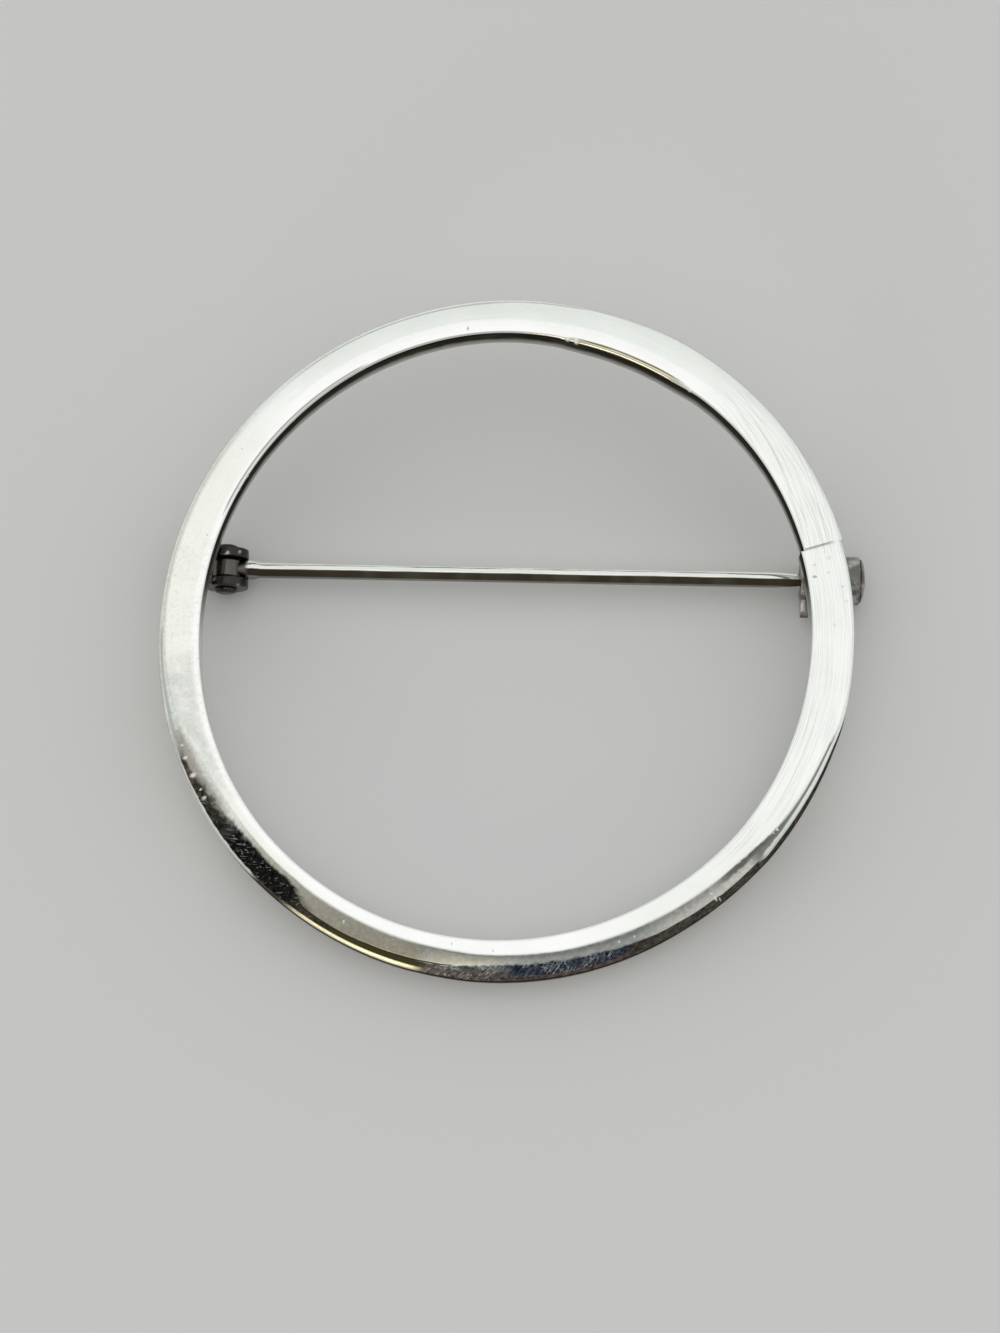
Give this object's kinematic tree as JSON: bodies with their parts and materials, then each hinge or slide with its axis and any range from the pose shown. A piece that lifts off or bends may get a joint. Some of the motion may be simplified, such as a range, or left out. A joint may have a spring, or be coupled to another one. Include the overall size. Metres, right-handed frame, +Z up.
{
  "type": "circle brooch",
  "caption": "Plain round ring brooch of square silver bar, with a straight hinged pin across its back and a turning safety catch.",
  "frame": {"origin": "on the flat surface that the brooch lies on, straight below the centre of the ring's back face", "axes": "+Z up from the surface, +X from the pin's hinge to its catch, +Y towards the side of the ring that the two fittings raise"},
  "size_m": [0.041, 0.0399, 0.0074],
  "materials": {
    "polished_silver": "polished silver with fine file and polishing lines",
    "pin_silver": "drawn silver wire, bright",
    "fitting_silver": "silver fittings, slightly dulled"
  },
  "bodies": {
    "ring": {"ring": "polished_silver", "hinge_rivet": "fitting_silver"},
    "pin": {"pin_stem": "pin_silver"},
    "catch_lever": {"catch_barrel": "fitting_silver"}
  },
  "joints": [
    {"name": "pin_swing", "type": "hinge", "parent": "ring", "child": "pin", "pos_m": [-0.0165, 0.00476, 0.00143], "axis": [0.0192, 0.9926, 0.1201], "range_deg": [0, 110]},
    {"name": "catch_turn", "type": "hinge", "parent": "ring", "child": "catch_lever", "pos_m": [0.0192, 0.00408, 0.00135], "axis": [0.9998, -0.0191, -0.0023], "range_deg": [0, 90]}
  ]
}
